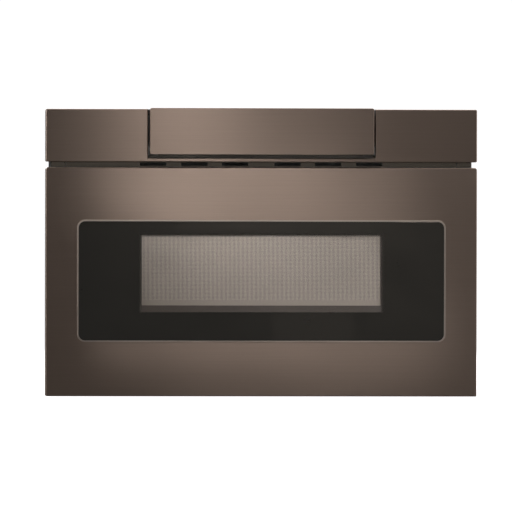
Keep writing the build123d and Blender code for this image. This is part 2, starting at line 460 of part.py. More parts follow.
# ================================================================ slides
orl = bx(252.5, 254, -243, 187, 172, 218)
orl += bx(241.5, 252.5, -243, 187, 172, 173.5) + bx(241.5, 252.5, -243, 187, 216.5, 218)
keep("outer_rails", orl, mir(orl))
mrl = bx(249.8, 251.0, -241, 181, 173.9, 216.1)
mrl += bx(242.3, 249.8, -241, 181, 173.9, 175.1) + bx(242.3, 249.8, -241, 181, 214.9, 216.1)
keep("mid_rail_right", mrl)
keep("mid_rail_left", mir(mrl))
irl = bx(240.5, 242.0, -247, 178, 175.5, 214.5)
irl += bx(242.0, 248.6, -240, 178, 175.5, 177) + bx(242.0, 248.6, -240, 178, 213, 214.5)
keep("inner_rails", irl, mir(irl))

arm = bx(238.5, 240.5, -259, -140, 180, 210)
arm += bx(238.5, 274, -260.8, -259, 172, 218)
arm += ext_z(poly([(240.5, -259), (252, -259), (240.5, -249)]), 194, 196)
keep("rail_arms", arm, mir(arm))

rb = []
for y in (-232.0, 130.0):
    b = bx(254, 255.5, y, y + 24, 176, 214)
    b += bx(255.5, x_in, y, y + 1.5, 176, 214)
    b += bx(x_in - 1.5, x_in, y + 1.5, y + 24, 176, 214)
    rb += [b, mir(b)]
keep("rail_brackets", *rb)

# rack under the drawer and the pinion that drives it
PITCH = math.pi * MODULE
ADD, DED = MODULE, 1.25 * MODULE
BACKLASH = 0.12
TAN = math.tan(math.radians(20))
RK0, RK1 = -252.0, 178.0
half = PITCH / 4 - BACKLASH / 2
pts = [(RK0, 60.0), (RK0, RACK_PITCH_Z + DED)]
n0 = math.ceil((-246.0 - (PINION_Y + PITCH / 2)) / PITCH)
y = PINION_Y + PITCH / 2 + n0 * PITCH
while y < RK1 - 2.5:
    pts += [(y - half - DED * TAN, RACK_PITCH_Z + DED), (y - half + ADD * TAN, RACK_PITCH_Z - ADD),
            (y + half - ADD * TAN, RACK_PITCH_Z - ADD), (y + half + DED * TAN, RACK_PITCH_Z + DED)]
    y += PITCH
pts += [(RK1, RACK_PITCH_Z + DED), (RK1, 60.0)]
rack = ext_x(poly(pts), -6, 6)
rack += bx(-14, 14, RK0, -248, 50, 72)
rack += bx(-14, 14, -260.8, RK0, 34, 72)
keep("drawer_rack", rack)

ALPHA = math.radians(20)
RB = R_PITCH * math.cos(ALPHA)
RA = R_PITCH + ADD
RF = R_PITCH - DED


def inv(a):
    return math.tan(a) - a


gp = []
half_ang = math.pi / (2 * TEETH) - BACKLASH / 2 / R_PITCH
for k in range(TEETH):
    c = math.pi / 2 + 2 * math.pi * k / TEETH
    left, right = [], []
    for i in range(7):
        r = RB + (RA - RB) * i / 6
        a = math.acos(min(1.0, RB / r))
        th = half_ang + inv(ALPHA) - inv(a)
        left.append((r, c - th))
        right.append((r, c + th))
    th0 = half_ang + inv(ALPHA)
    gp += [(RF, c - th0)] + left + right[::-1] + [(RF, c + th0)]
gpts = [(PINION_Y + r * math.cos(a), PINION_Z + r * math.sin(a)) for r, a in gp]
pin = ext_x(poly(gpts), -5, 5)
pin += cyl_x(PINION_Y, PINION_Z, 6.5, 5, 11) + cyl_x(PINION_Y, PINION_Z, 3.0, 11, 34)
pin += cyl_x(PINION_Y, PINION_Z, 6.5, -8, -5)
pin -= ext_x(Pos(PINION_Y, PINION_Z) * Rectangle(4.0, 4.0), -9, -3)
keep("drive_pinion", pin)

# bracket with the rack's guide, and the geared motor
mb = bx(12, 14, -243, -176, z_fl, 68)
mb += bx(14, 46, -243, -176, z_fl, z_fl + 1.5)
mb += bx(-12, 12, -243, -205, 62.4, 68)
mb += bx(7, 12, -243, -205, 50.5, 62.4) + bx(-12, -7, -243, -205, 50.5, 62.4)
mb -= cyl_x(PINION_Y, PINION_Z, 7.5, 5, 20)
keep("motor_bracket", mb)
dm = bx(14, 48, -243, -190, 17, 62) - bx(10, 20, -239, -194, 21, 58)
dm = bx(14, 48, -243, -190, 17, 62)
dm = fillet(dm.edges().filter_by(Axis.X), 5)
dm += cyl_x(-216, 40, 18.5, 48, 104) + cyl_x(-216, 40, 8, 104, 108)
dm -= cyl_x(PINION_Y, PINION_Z, 3.0 + RUN, 10, 36)
keep("drive_motor", dm)

# door interlocks: hooks on the drawer press sprung plungers when it is shut
hk = bx(256, 268, -260.8, -258, 124, 150)
hk += bx(259, 263, -258, -229.5, 129, 141)
hk += ext_x(poly([(-258, 129), (-229.5, 129), (-226, 133), (-226, 141), (-258, 141)]), 259, 263)
hk += ext_x(poly([(-236, 141), (-229.5, 141), (-236, 145)]), 259, 263)
keep("latch_hooks", hk, mir(hk))
sw = bx(253, 270, -222, -200, 120, 150) + bx(270, x_in, -222, -212, 124, 146)
sw -= cyl_y(261, 135, 2.5 + RUN, -223, -208)
keep("interlock_switches", sw, mir(sw))
pl = cyl_y(261, 135, 2.5, -225.7, -210)
keep("interlock_plungers", pl, mir(pl))

# screws of the drawer assembly
dsc = []
for (x, z) in [(-280, 40), (-280, 166), (-280, 296), (280, 40), (280, 166), (280, 296)]:
    dsc.append(cyl_y(x, z, 3.2, -260.8, -259) - ext_y(Pos(x, z) * (Rectangle(3.6, 0.7) + Rectangle(0.7, 3.6)), -259.8, -258))
keep("drawer_screws", *dsc)

# ---------------------------------------------------------------- write
assert len(nodes) <= 60, len(nodes)
for name, shape in nodes.items():
    shape.label = name
    export_step(shape, "parts/" + name + ".step")
print(len(nodes), "parts")
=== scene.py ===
import json
import math

import bmesh
import bpy
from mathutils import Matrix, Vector


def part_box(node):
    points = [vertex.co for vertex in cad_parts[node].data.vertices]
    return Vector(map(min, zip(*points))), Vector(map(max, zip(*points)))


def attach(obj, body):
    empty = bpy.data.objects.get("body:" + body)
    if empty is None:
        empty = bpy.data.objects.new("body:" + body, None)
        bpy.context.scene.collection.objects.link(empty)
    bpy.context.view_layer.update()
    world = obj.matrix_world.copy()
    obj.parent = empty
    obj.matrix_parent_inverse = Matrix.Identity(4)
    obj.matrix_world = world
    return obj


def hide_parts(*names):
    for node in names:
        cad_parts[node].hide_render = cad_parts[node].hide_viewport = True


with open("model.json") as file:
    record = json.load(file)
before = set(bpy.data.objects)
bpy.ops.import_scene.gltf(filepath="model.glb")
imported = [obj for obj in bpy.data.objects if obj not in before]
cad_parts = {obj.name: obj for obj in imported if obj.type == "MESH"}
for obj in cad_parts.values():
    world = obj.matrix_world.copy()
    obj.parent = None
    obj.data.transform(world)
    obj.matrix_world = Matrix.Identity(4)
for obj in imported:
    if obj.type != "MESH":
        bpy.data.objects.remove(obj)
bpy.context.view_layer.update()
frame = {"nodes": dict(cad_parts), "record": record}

scene = bpy.context.scene
N = frame["nodes"]
SLOT_OF = {s["node"]: s["material_slot"] for s in frame["record"]["subparts"]}


# ------------------------------------------------------------------ camera
# Nearly square on, a few degrees from the left, very long lens.
AZ, EL, ROLL = -3.1, 0.35, 0.11
LENS, SENSOR = 750.0, 36.0
MM_PER_PX = 1.4035
TARGET = Vector((-0.00780, -0.285, 0.19705))
dist = 0.512 * MM_PER_PX * LENS / SENSOR
a, e = math.radians(AZ), math.radians(EL)
back = Vector((math.sin(a) * math.cos(e), -math.cos(a) * math.cos(e), math.sin(e)))
cam_data = bpy.data.cameras.new("camera")
cam_data.lens = LENS
cam_data.sensor_width = SENSOR
cam_data.clip_start = 0.1
cam_data.clip_end = 150.0
cam = bpy.data.objects.new("camera", cam_data)
scene.collection.objects.link(cam)
cam.location = TARGET + back * dist
q = (-back).to_track_quat("-Z", "Y")
cam.rotation_euler = q.to_euler()
cam.rotation_euler.rotate_axis("Z", math.radians(ROLL))
scene.camera = cam
scene.view_settings.view_transform = "Standard"
scene.view_settings.look = "None"


# ------------------------------------------------------------------ node helpers
class Mat:
    """A material with a Principled shader and short helpers for its nodes."""

    def __init__(self, name, color=(0.5, 0.5, 0.5), rough=0.5, metallic=0.0, **sockets):
        self.m = bpy.data.materials.new(name)
        self.m.use_nodes = True
        self.t = self.m.node_tree
        self.bsdf = next(n for n in self.t.nodes if n.type == "BSDF_PRINCIPLED")
        self.out = next(n for n in self.t.nodes if n.type == "OUTPUT_MATERIAL")
        self.set("Base Color", (*color, 1.0))
        self.set("Roughness", rough)
        self.set("Metallic", metallic)
        for k, v in sockets.items():
            self.set(k.replace("_", " "), v)
        self.obj = None

    def set(self, name, value):
        self.bsdf.inputs[name].default_value = value

    def n(self, kind, **props):
        node = self.t.nodes.new(kind)
        for k, v in props.items():
            setattr(node, k, v)
        return node

    def link(self, a, b):
        self.t.links.new(a, b)

    def coords(self, scale=(1, 1, 1), offset=(0, 0, 0)):
        if self.obj is None:
            self.obj = self.n("ShaderNodeTexCoord").outputs["Object"]
        mp = self.n("ShaderNodeMapping")
        mp.inputs["Scale"].default_value = scale
        mp.inputs["Location"].default_value = offset
        self.link(self.obj, mp.inputs["Vector"])
        return mp.outputs["Vector"]

    def noise(self, scale, detail=3.0, rough=0.5, stretch=(1, 1, 1), offset=(0, 0, 0), distortion=0.0):
        nz = self.n("ShaderNodeTexNoise")
        nz.inputs["Scale"].default_value = scale
        nz.inputs["Detail"].default_value = detail
        nz.inputs["Roughness"].default_value = rough
        nz.inputs["Distortion"].default_value = distortion
        self.link(self.coords(stretch, offset), nz.inputs["Vector"])
        return nz.outputs["Fac"]

    def voronoi(self, scale, stretch=(1, 1, 1), output="Color", feature="F1"):
        v = self.n("ShaderNodeTexVoronoi", feature=feature)
        v.inputs["Scale"].default_value = scale
        self.link(self.coords(stretch), v.inputs["Vector"])
        return v.outputs[output]

    def remap(self, value, lo, hi, a=0.0, b=1.0, smooth=False):
        r = self.n("ShaderNodeMapRange")
        if smooth:
            r.interpolation_type = "SMOOTHSTEP"
        r.inputs["From Min"].default_value = lo
        r.inputs["From Max"].default_value = hi
        r.inputs["To Min"].default_value = a
        r.inputs["To Max"].default_value = b
        self.link(value, r.inputs["Value"])
        return r.outputs["Result"]

    def math(self, op, a, b=0.0, c=None):
        mt = self.n("ShaderNodeMath", operation=op)
        for i, v in enumerate((a, b) if c is None else (a, b, c)):
            if isinstance(v, (int, float)):
                mt.inputs[i].default_value = v
            else:
                self.link(v, mt.inputs[i])
        return mt.outputs[0]

    def mix(self, fac, a, b):
        mx = self.n("ShaderNodeMix", data_type="RGBA")
        for sock, v in ((mx.inputs[0], fac), (mx.inputs[6], a), (mx.inputs[7], b)):
            if isinstance(v, tuple):
                sock.default_value = (*v, 1.0) if len(v) == 3 else v
            elif isinstance(v, (int, float)):
                sock.default_value = v
            else:
                self.link(v, sock)
        return mx.outputs[2]

    def xyz(self, scale=(1, 1, 1), offset=(0, 0, 0)):
        s = self.n("ShaderNodeSeparateXYZ")
        self.link(self.coords(scale, offset), s.inputs[0])
        return s.outputs

    def bump(self, height, strength, distance=0.001, after=None):
        b = self.n("ShaderNodeBump")
        b.inputs["Strength"].default_value = strength
        b.inputs["Distance"].default_value = distance
        self.link(height, b.inputs["Height"])
        if after is not None:
            self.link(after, b.inputs["Normal"])
        self.link(b.outputs["Normal"], self.bsdf.inputs["Normal"])
        return b.outputs["Normal"]

    def to(self, socket, value):
        self.link(value, self.bsdf.inputs[socket])


def shade(c, k):
    return tuple(min(1.0, x * k) for x in c)


# ------------------------------------------------------------------ materials
def black_stainless(name="black_stainless"):
    """Dark warm-grey stainless steel, brushed sideways, with fine long scratches."""
    base = (0.315, 0.2365, 0.192)
    m = Mat(name, base, 0.36, 1.0)
    m.set("Anisotropic", 0.85)
    m.set("Anisotropic Rotation", 0.25)
    tg = m.n("ShaderNodeTangent", direction_type="RADIAL", axis="Z")
    m.link(tg.outputs[0], m.bsdf.inputs["Tangent"])
    fine = m.noise(1.0, 4, 0.65, (22, 22, 5200))
    broad = m.noise(1.0, 2, 0.5, (5, 5, 900), (3.1, 0, 0))
    patch = m.noise(3.5, 2, 0.5, (1.0, 1.0, 1.8), (0, 0, 2.0))
    k = m.math("ADD", m.math("MULTIPLY", fine, 0.55), m.math("MULTIPLY", broad, 0.45))
    col = m.mix(m.remap(k, 0.28, 0.72), shade(base, 0.93), shade(base, 1.06))
    col = m.mix(m.remap(patch, 0.35, 0.70, 0.0, 0.12), col, shade(base, 1.12))
    m.to("Base Color", col)
    m.to("Roughness", m.remap(k, 0.2, 0.8, 0.33, 0.42))
    m.bump(k, 0.07, 0.00003)
    return m.m


def sheet_steel(name, base, rough=0.38, spangle=0.0, grain=0.0, crystals=150.0):
    """Galvanised or aluminised sheet: a soft crystal pattern, faint handling marks."""
    m = Mat(name, base, rough, 1.0)
    v = m.voronoi(crystals, (1, 1, 1))
    g = m.n("ShaderNodeRGBToBW")
    m.link(v, g.inputs[0])
    cloud = m.noise(9.0, 5, 0.6)
    scr = m.noise(1.0, 3, 0.6, (14, 700, 700))
    k = m.remap(g.outputs[0], 0.15, 0.85, 0.5 - spangle, 0.5 + spangle)
    k = m.math("ADD", k, m.remap(cloud, 0.3, 0.7, -0.10, 0.10))
    k = m.math("ADD", k, m.remap(scr, 0.3, 0.7, -0.05 - grain, 0.05 + grain))
    m.to("Base Color", m.mix(k, shade(base, 0.80), shade(base, 1.16)))
    m.to("Roughness", m.remap(m.math("ADD", m.math("MULTIPLY", cloud, 0.8), m.math("MULTIPLY", g.outputs[0], 0.2)), 0.25, 0.75, rough - 0.04, rough + 0.08))
    m.bump(m.math("ADD", m.math("MULTIPLY", cloud, 0.5), scr), 0.06, 0.0002)
    return m.m


def paint(name, base, rough=0.45, peel=0.10, coat=0.0):
    """Baked enamel or paint with slight orange peel."""
    m = Mat(name, base, rough, 0.0)
    if coat:
        m.set("Coat Weight", coat)
        m.set("Coat Roughness", 0.12)
    p = m.noise(900.0, 2, 0.5)
    cloud = m.noise(7.0, 4, 0.6)
    m.to("Base Color", m.mix(m.remap(cloud, 0.3, 0.7), shade(base, 0.93), shade(base, 1.05)))
    m.to("Roughness", m.remap(cloud, 0.3, 0.7, rough - 0.05, rough + 0.06))
    m.bump(p, peel, 0.0002)
    return m.m


def plastic(name, base, rough=0.5, grain=0.25):
    """Moulded plastic with a fine spark-eroded grain."""
    m = Mat(name, base, rough, 0.0)
    g = m.voronoi(2200.0, output="Distance")
    cloud = m.noise(12.0, 3, 0.55)
    m.to("Base Color", m.mix(m.remap(cloud, 0.3, 0.7), shade(base, 0.88), shade(base, 1.12)))
    m.to("Roughness", m.remap(cloud, 0.3, 0.7, rough - 0.06, rough + 0.08))
    m.bump(g, grain, 0.0001)
    return m.m


def black_glass():
    """Glass painted black on its back: deep gloss, faint dust and wipe marks."""
    m = Mat("black_glass", (0.0165, 0.0152, 0.0125), 0.30, 0.0)
    m.set("IOR", 1.5)
    m.set("Specular IOR Level", 0.5)
    m.set("Coat Weight", 0.5)
    m.set("Coat Roughness", 0.05)
    cloud = m.noise(14.0, 4, 0.6, (1, 1, 1.6))
    m.to("Base Color", m.mix(m.remap(cloud, 0.3, 0.7), (0.0158, 0.0146, 0.0120), (0.0172, 0.0158, 0.0130)))
    m.to("Roughness", m.remap(cloud, 0.3, 0.7, 0.27, 0.33))
    return m.m


def satin_trim():
    """Smooth satin frame, a little lighter than the steel round it."""
    base = (0.46, 0.385, 0.330)
    m = Mat("trim_steel", base, 0.42, 1.0)
    line = m.noise(1.0, 2, 0.5, (9, 9, 9), (0, 0, 1.0))
    fine = m.noise(2600.0, 2, 0.5)
    m.to("Base Color", m.mix(m.remap(line, 0.3, 0.7), shade(base, 0.96), shade(base, 1.04)))
    m.to("Roughness", m.remap(fine, 0.3, 0.7, 0.38, 0.46))
    return m.m


def window_glass(name, tint, alpha, rough=0.04):
    """Clear toughened glass, thin, seen straight through."""
    m = Mat(name, tint, rough, 0.0)
    m.set("IOR", 1.5)
    m.set("Alpha", alpha)
    cloud = m.noise(10.0, 4, 0.6)
    m.to("Roughness", m.remap(cloud, 0.3, 0.7, rough * 0.7, rough * 1.8))
    return m.m


def faded_glass(name, tint, edge, alpha, x0, x1, z0, z1):
    """The clear window, with the black print fading out over a few millimetres at its sides and top."""
    m = Mat(name, tint, 0.05, 0.0)
    m.set("IOR", 1.5)
    m.set("Coat Weight", 0.5)
    m.set("Coat Roughness", 0.05)
    p = m.xyz()
    side = m.remap(m.math("ABSOLUTE", p["X"]), x0, x1, 0.0, 1.0, smooth=True)
    top = m.remap(p["Z"], z0, z1, 0.0, 1.0, smooth=True)
    ink = m.math("MAXIMUM", side, top)
    m.to("Alpha", m.remap(ink, 0.0, 1.0, alpha, 1.0))
    m.to("Base Color", m.mix(ink, tint, edge))
    cloud = m.noise(10.0, 4, 0.6)
    m.to("Roughness", m.math("ADD", m.remap(cloud, 0.3, 0.7, 0.035, 0.07), m.math("MULTIPLY", ink, 0.25)))
    return m.m


def vent_strip():
    """Dark strip in the gap, its colour darkened towards the bottom as painted shade for the recess it sits in."""
    base = (0.056, 0.046, 0.036)
    m = Mat("vent_strip", base, 0.5, 0.0)
    cloud = m.noise(40.0, 3, 0.5)
    # painted shade: the colour is scaled from 1.15 at the top of the strip down to 0.55 at its bottom
    z = m.remap(m.xyz()["Z"], 0.3225, 0.3288, 0.55, 1.15, smooth=True)
    col = m.mix(m.remap(cloud, 0.3, 0.7), shade(base, 0.95), shade(base, 1.05))
    painted_shade = m.n("ShaderNodeVectorMath", operation="SCALE")
    m.link(col, painted_shade.inputs[0])
    m.link(z, painted_shade.inputs["Scale"])
    m.to("Base Color", painted_shade.outputs[0])
    m.bump(m.noise(900.0, 2, 0.5), 0.1, 0.0002)
    return m.m


def mesh_steel():
    """Perforated screen: rows of small round holes in grey sheet, plain at its rim."""
    base = (0.545, 0.463, 0.393)
    m = Mat("mesh_steel", base, 0.45, 0.35)
    px, pz, rx, rz = 0.00183, 0.00186, 0.00054, 0.00090
    s = m.xyz((1 / px, 1, 1 / pz))
    fx = m.math("MULTIPLY", m.math("SUBTRACT", m.math("FRACT", s["X"]), 0.5), px / rx)
    fz = m.math("MULTIPLY", m.math("SUBTRACT", m.math("FRACT", s["Z"]), 0.5), pz / rz)
    r = m.math("SQRT", m.math("ADD", m.math("MULTIPLY", fx, fx), m.math("MULTIPLY", fz, fz)))
    inside = m.remap(r, 0.90, 1.10, 1.0, 0.0)
    raw = m.xyz()
    # the perforated field stops above a plain strip along the lower edge
    field = m.math("MULTIPLY", m.math("GREATER_THAN", raw["Z"], 0.1350), m.math("LESS_THAN", raw["Z"], 0.2245))
    inside = m.math("MULTIPLY", inside, field)
    cloud = m.noise(16.0, 3, 0.5, (1, 1, 1))
    sheet = m.mix(m.remap(cloud, 0.3, 0.7), shade(base, 1.00), shade(base, 1.09))
    # painted shade: the plain strip along the lower edge is darkened to two thirds of the sheet's colour
    sheet = m.mix(m.math("LESS_THAN", raw["Z"], 0.1350), sheet, shade(base, 0.66))
    m.to("Base Color", m.mix(inside, sheet, (0.105, 0.090, 0.076)))
    m.to("Metallic", m.remap(inside, 0, 1, 0.35, 0.0))
    m.bump(m.math("SUBTRACT", 1.0, inside), 0.35, 0.0002)
    return m.m


def tray_ceramic():
    m = Mat("tray_ceramic", (0.80, 0.80, 0.77), 0.16, 0.0)
    sp = m.noise(160.0, 3, 0.6)
    m.to("Base Color", m.mix(m.remap(sp, 0.45, 0.62), (0.79, 0.79, 0.76), (0.84, 0.84, 0.82)))
    m.to("Roughness", m.remap(m.noise(9.0, 4, 0.6), 0.3, 0.7, 0.12, 0.26))
    m.bump(m.noise(60.0, 2, 0.5), 0.03, 0.0002)
    return m.m


def circuit_board():
    m = Mat("circuit_board", (0.02, 0.11, 0.045), 0.35, 0.0)
    b = m.n("ShaderNodeTexBrick")
    b.inputs["Scale"].default_value = 1.0
    b.inputs["Mortar Size"].default_value = 0.10
    b.inputs["Brick Width"].default_value = 3.0
    b.inputs["Row Height"].default_value = 1.0
    m.link(m.coords((420, 420, 420)), b.inputs["Vector"])
    tr = m.remap(b.outputs["Fac"], 0, 1)
    v = m.voronoi(140.0, output="Distance")
    pad = m.remap(v, 0.16, 0.22, 1.0, 0.0)
    col = m.mix(tr, (0.018, 0.10, 0.04), (0.035, 0.17, 0.07))
    m.to("Base Color", m.mix(m.math("MULTIPLY", pad, 0.8), col, (0.55, 0.45, 0.22)))
    m.bump(tr, 0.15, 0.0001)
    return m.m


def winding():
    m = Mat("winding", (0.42, 0.17, 0.06), 0.35, 0.75)
    s = m.xyz((1, 1, 1 / 0.0012))
    w = m.math("ABSOLUTE", m.math("SUBTRACT", m.math("FRACT", s["Z"]), 0.5))
    m.to("Base Color", m.mix(m.remap(w, 0.0, 0.5), (0.50, 0.21, 0.08), (0.20, 0.07, 0.025)))
    m.bump(m.math("SUBTRACT", 0.5, w), 0.6, 0.0006)
    return m.m


def core_steel():
    m = Mat("core_steel", (0.05, 0.05, 0.055), 0.5, 0.7)
    s = m.xyz((1, 1 / 0.0009, 1))
    w = m.math("ABSOLUTE", m.math("SUBTRACT", m.math("FRACT", s["Y"]), 0.5))
    m.to("Base Color", m.mix(m.remap(w, 0.35, 0.5), (0.075, 0.072, 0.07), (0.03, 0.028, 0.027)))
    m.bump(m.math("SUBTRACT", 0.5, w), 0.4, 0.0003)
    return m.m


def screw_steel():
    m = Mat("screw_steel", (0.62, 0.62, 0.60), 0.28, 1.0)
    c = m.noise(600.0, 3, 0.6)
    m.to("Base Color", m.mix(m.remap(c, 0.3, 0.7), (0.50, 0.50, 0.48), (0.70, 0.70, 0.68)))
    m.to("Roughness", m.remap(c, 0.3, 0.7, 0.22, 0.38))
    return m.m


MATS = {
    "black_stainless": black_stainless(),
    "trim_steel": satin_trim(),
    "black_glass": black_glass(),
    "clear_glass": window_glass("clear_glass", (0.70, 0.75, 0.73), 0.22),
    "mesh_steel": mesh_steel(),
    "dark_steel": paint("dark_steel", (0.070, 0.051, 0.039), 0.5, 0.12),
    "galvanised": sheet_steel("galvanised", (0.55, 0.56, 0.56), 0.42, 0.15),
    "aluminised": sheet_steel("aluminised", (0.60, 0.60, 0.58), 0.40, 0.08),
    "zinc_steel": sheet_steel("zinc_steel", (0.60, 0.61, 0.62), 0.30, 0.06, 0.05),
    "screw_steel": screw_steel(),
    "cavity_enamel": paint("cavity_enamel", (0.46, 0.45, 0.43), 0.38, 0.12, 0.3),
    "choke_enamel": paint("choke_enamel", (0.30, 0.295, 0.285), 0.42, 0.12, 0.2),
    "choke_plastic": plastic("choke_plastic", (0.022, 0.022, 0.022), 0.46),
    "cover_plate": plastic("cover_plate", (0.62, 0.59, 0.50), 0.5, 0.15),
    "tray_ceramic": tray_ceramic(),
    "black_plastic": plastic("black_plastic", (0.034, 0.032, 0.030), 0.5),
    "white_plastic": plastic("white_plastic", (0.74, 0.73, 0.70), 0.45, 0.1),
    "gear_plastic": plastic("gear_plastic", (0.68, 0.66, 0.58), 0.42, 0.08),
    "seal_rubber": plastic("seal_rubber", (0.018, 0.018, 0.018), 0.72, 0.1),
    "motor_steel": sheet_steel("motor_steel", (0.33, 0.34, 0.35), 0.40, 0.05, 0.04),
    "yoke_steel": sheet_steel("yoke_steel", (0.50, 0.50, 0.46), 0.42, 0.15),
    "aluminium_part": sheet_steel("aluminium_part", (0.74, 0.74, 0.73), 0.34, 0.04, 0.06),
    "core_steel": core_steel(),
    "winding": winding(),
    "circuit_board": circuit_board(),
}
# own materials: the pod brackets get a half-bright copy of the zinc sheet as painted shade for the slit they sit in,
# and the vent strip is darkened low down as painted shade
OWN = {"vent_grille": vent_strip(), "pod_brackets": sheet_steel("zinc_bracket_painted_shade", (0.30, 0.30, 0.285), 0.45, 0.05, 0.03)}
for name, obj in N.items():
    mesh = obj.data
    mesh.materials.clear()
    mesh.materials.append(OWN.get(name) or MATS[SLOT_OF[name]])


# ------------------------------------------------------------------ mesh helpers
def new_object(name, bm, material, body, replaces=()):
    me = bpy.data.meshes.new(name)
    bmesh.ops.recalc_face_normals(bm, faces=bm.faces)
    bm.to_mesh(me)
    bm.free()
    ob = bpy.data.objects.new(name, me)
    scene.collection.objects.link(ob)
    me.materials.append(material)
    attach(ob, body)
    if replaces:
        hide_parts(*replaces)
    return ob


def rounded(x0, x1, z0, z1, r, seg=10):
    """Points of a rounded rectangle in (x, z), in metres, counter-clockwise."""
    pts = []
    for cx, cz, a0 in ((x1 - r, z0 + r, -90), (x1 - r, z1 - r, 0), (x0 + r, z1 - r, 90), (x0 + r, z0 + r, 180)):
        for i in range(seg + 1):
            t = math.radians(a0 + 90 * i / seg)
            pts.append((cx + r * math.cos(t), cz + r * math.sin(t)))
    return pts


def ring_between(bm, loop_a, loop_b):
    n = len(loop_a)
    for i in range(n):
        j = (i + 1) % n
        bm.faces.new((loop_a[i], loop_a[j], loop_b[j], loop_b[i]))


def loop_at(bm, pts, y):
    return [bm.verts.new((x, y, z)) for x, z in pts]


# ------------------------------------------------------------------ drawer glass
# The pane is one sheet of toughened glass; its black border and its clear window
# are two pieces because they look different, and they meet edge to edge.
lo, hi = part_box("drawer_glass")
GX, GZ0, GZ1 = hi.x, lo.z, hi.z
GY0, GY1 = lo.y, hi.y
WX, WZ0, WZ1, WR = 0.1727, 0.1182, 0.2298, 0.0012
SEG = 10
bm = bmesh.new()
b = 0.0005
front_out = loop_at(bm, rounded(-GX + b, GX - b, GZ0 + b, GZ1 - b, 0.009 - b, SEG), GY0)
edge1 = loop_at(bm, rounded(-GX + b * 0.3, GX - b * 0.3, GZ0 + b * 0.3, GZ1 - b * 0.3, 0.009 - b * 0.3, SEG), GY0 + b * 0.3)
edge2 = loop_at(bm, rounded(-GX, GX, GZ0, GZ1, 0.009, SEG), GY0 + b)
back_out = loop_at(bm, rounded(-GX, GX, GZ0, GZ1, 0.009, SEG), GY1)
front_in = loop_at(bm, rounded(-WX, WX, WZ0, WZ1, WR, SEG), GY0)
back_in = loop_at(bm, rounded(-WX, WX, WZ0, WZ1, WR, SEG), GY1)
ring_between(bm, front_in, front_out)
ring_between(bm, front_out, edge1)
ring_between(bm, edge1, edge2)
ring_between(bm, edge2, back_out)
ring_between(bm, back_out, back_in)
ring_between(bm, back_in, front_in)
BORDER = new_object("glass_border", bm, MATS["black_glass"], "drawer", ("drawer_glass",))

bm = bmesh.new()
i_f = loop_at(bm, rounded(-WX + 2e-5, WX - 2e-5, WZ0 + 2e-5, WZ1 - 2e-5, WR, SEG), GY0)
i_b = loop_at(bm, rounded(-WX + 2e-5, WX - 2e-5, WZ0 + 2e-5, WZ1 - 2e-5, WR, SEG), GY1)
bm.faces.new(i_f)
bm.faces.new(i_b[::-1])
ring_between(bm, i_f, i_b)
WINDOW = new_object("glass_window", bm, faded_glass("window_glass", (0.11, 0.100, 0.092), (0.0165, 0.0152, 0.0125), 0.12, 0.1676, 0.1725, 0.2228, 0.2296), "drawer")


# ------------------------------------------------------------------ control glass legends
def text_piece(name, body, size, x, y, z, material, thick=0.00004):
    cu = bpy.data.curves.new(name, "FONT")
    cu.body = body
    cu.size = size
    cu.align_x = "CENTER"
    cu.align_y = "CENTER"
    cu.extrude = thick
    tmp = bpy.data.objects.new(name + "_t", cu)
    scene.collection.objects.link(tmp)
    bpy.context.view_layer.update()
    me = bpy.data.meshes.new_from_object(tmp.evaluated_get(bpy.context.evaluated_depsgraph_get()))
    bpy.data.objects.remove(tmp)
    for v in me.vertices:
        v.co = Vector((v.co.x + x, v.co.y + y, v.co.z + z))
    me.materials.clear()
    me.materials.append(material)
    ob = bpy.data.objects.new(name, me)
    scene.collection.objects.link(ob)
    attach(ob, "control_pod")
    return ob


def legend_ink():
    m = Mat("legend_ink", (0.72, 0.71, 0.68), 0.5, 0.0)
    c = m.noise(400.0, 2, 0.5)
    m.to("Base Color", m.mix(m.remap(c, 0.3, 0.7), (0.66, 0.65, 0.62), (0.76, 0.75, 0.72)))
    return m.m


INK = legend_ink()
glo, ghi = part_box("control_glass")
GTOP = ghi.z
for i, d in enumerate("1234567890"):
    text_piece("key_%s" % d, d, 0.0075, 0.038 + 0.0112 * i, -0.2765, GTOP + 0.00002, INK)


# ------------------------------------------------------------------ stage
def stage_material():
    """Pale lit table: evenly white, with only a soft shadow where the object stands."""
    m = Mat("floor_white", (0.80, 0.80, 0.80), 0.7, 0.0)
    m.set("Emission Color", (1.0, 1.0, 1.0, 1.0))
    m.set("Emission Strength", 0.97)
    c = m.noise(1.2, 2, 0.5)
    m.to("Base Color", m.mix(m.remap(c, 0.3, 0.7), (0.795, 0.795, 0.795), (0.805, 0.805, 0.805)))
    return m.m


bm = bmesh.new()
FLOOR_Z, R_FLOOR = -0.0003, 60.0
rim = [bm.verts.new((R_FLOOR * math.cos(t), R_FLOOR * math.sin(t), FLOOR_Z)) for t in [math.tau * i / 96 for i in range(96)]]
bm.faces.new(rim)
me = bpy.data.meshes.new("floor")
bm.to_mesh(me)
bm.free()
floor = bpy.data.objects.new("floor", me)
scene.collection.objects.link(floor)
me.materials.append(stage_material())
floor.visible_glossy = False
floor.visible_diffuse = False
floor.visible_transmission = False

world = bpy.data.worlds.new("world")
scene.world = world
world.use_nodes = True
wt = world.node_tree
bg = next(n for n in wt.nodes if n.type == "BACKGROUND")
bg.inputs["Color"].default_value = (1, 1, 1, 1)
bg.inputs["Strength"].default_value = 0.10
white = wt.nodes.new("ShaderNodeBackground")
white.inputs["Color"].default_value = (1, 1, 1, 1)
white.inputs["Strength"].default_value = 1.05
path = wt.nodes.new("ShaderNodeLightPath")
both = wt.nodes.new("ShaderNodeMixShader")
wt.links.new(path.outputs["Is Camera Ray"], both.inputs[0])
wt.links.new(bg.outputs[0], both.inputs[1])
wt.links.new(white.outputs[0], both.inputs[2])
wt.links.new(both.outputs[0], next(n for n in wt.nodes if n.type == "OUTPUT_WORLD").inputs["Surface"])


